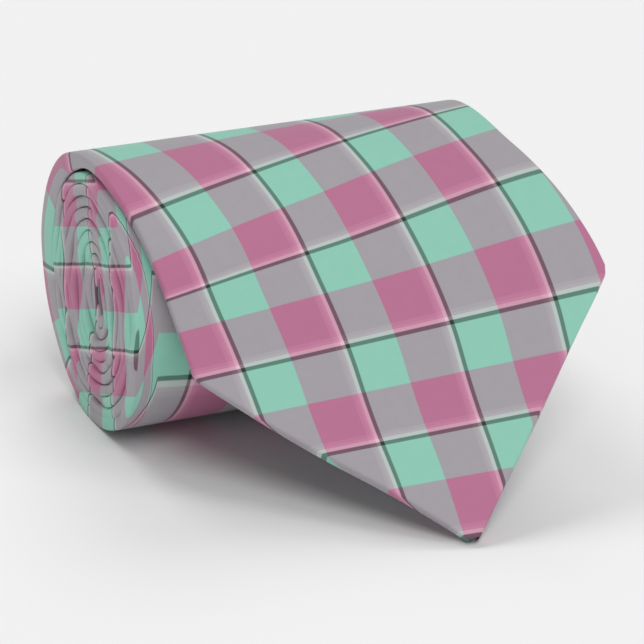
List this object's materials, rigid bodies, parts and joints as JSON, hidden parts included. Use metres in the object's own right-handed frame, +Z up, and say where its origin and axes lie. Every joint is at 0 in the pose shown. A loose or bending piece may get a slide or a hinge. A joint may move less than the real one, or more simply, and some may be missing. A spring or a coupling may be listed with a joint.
{
  "type": "rolled necktie",
  "caption": "Pointed printed necktie rolled up from its narrow end, its wide blade coming over the top of the roll and sloping down to the floor.",
  "frame": {"origin": "centre of the footprint, on the floor that the roll and the blade's point rest on", "axes": "+X along the roll's axis, from the end where the edges are flush towards the end where the narrowing tie leaves a hollow; +Y from the blade's point towards the roll; +Z up"},
  "size_m": [0.112, 0.1332, 0.0694],
  "materials": {
    "printed_cloth": "smooth printed polyester twill in a pink, mint and grey plaid",
    "interlining": "brushed undyed wool blend",
    "tipping": "plain satin lining",
    "thread": "spun sewing thread",
    "label": "woven satin label, blank"
  },
  "bodies": {
    "roll": {"blade_shell_rolled": "printed_cloth", "neck_shell": "printed_cloth", "tail_shell": "printed_cloth", "interlining_rolled": "interlining", "tail_tipping": "tipping", "slip_stitch_rolled": "thread", "tail_bar_tack": "thread", "keeper_loop": "printed_cloth", "keeper_tack_left": "thread", "keeper_tack_right": "thread", "care_label": "label"},
    "blade": {"blade_shell_free": "printed_cloth", "interlining_free": "interlining", "blade_tipping": "tipping", "slip_stitch_free": "thread", "blade_bar_tack": "thread"}
  },
  "joints": [
    {"name": "blade_lift", "type": "hinge", "parent": "roll", "child": "blade", "pos_m": [0, 0.03203, 0.06841], "axis": [-0.9999, 0, 0.0171], "range_deg": [0, 70]}
  ]
}
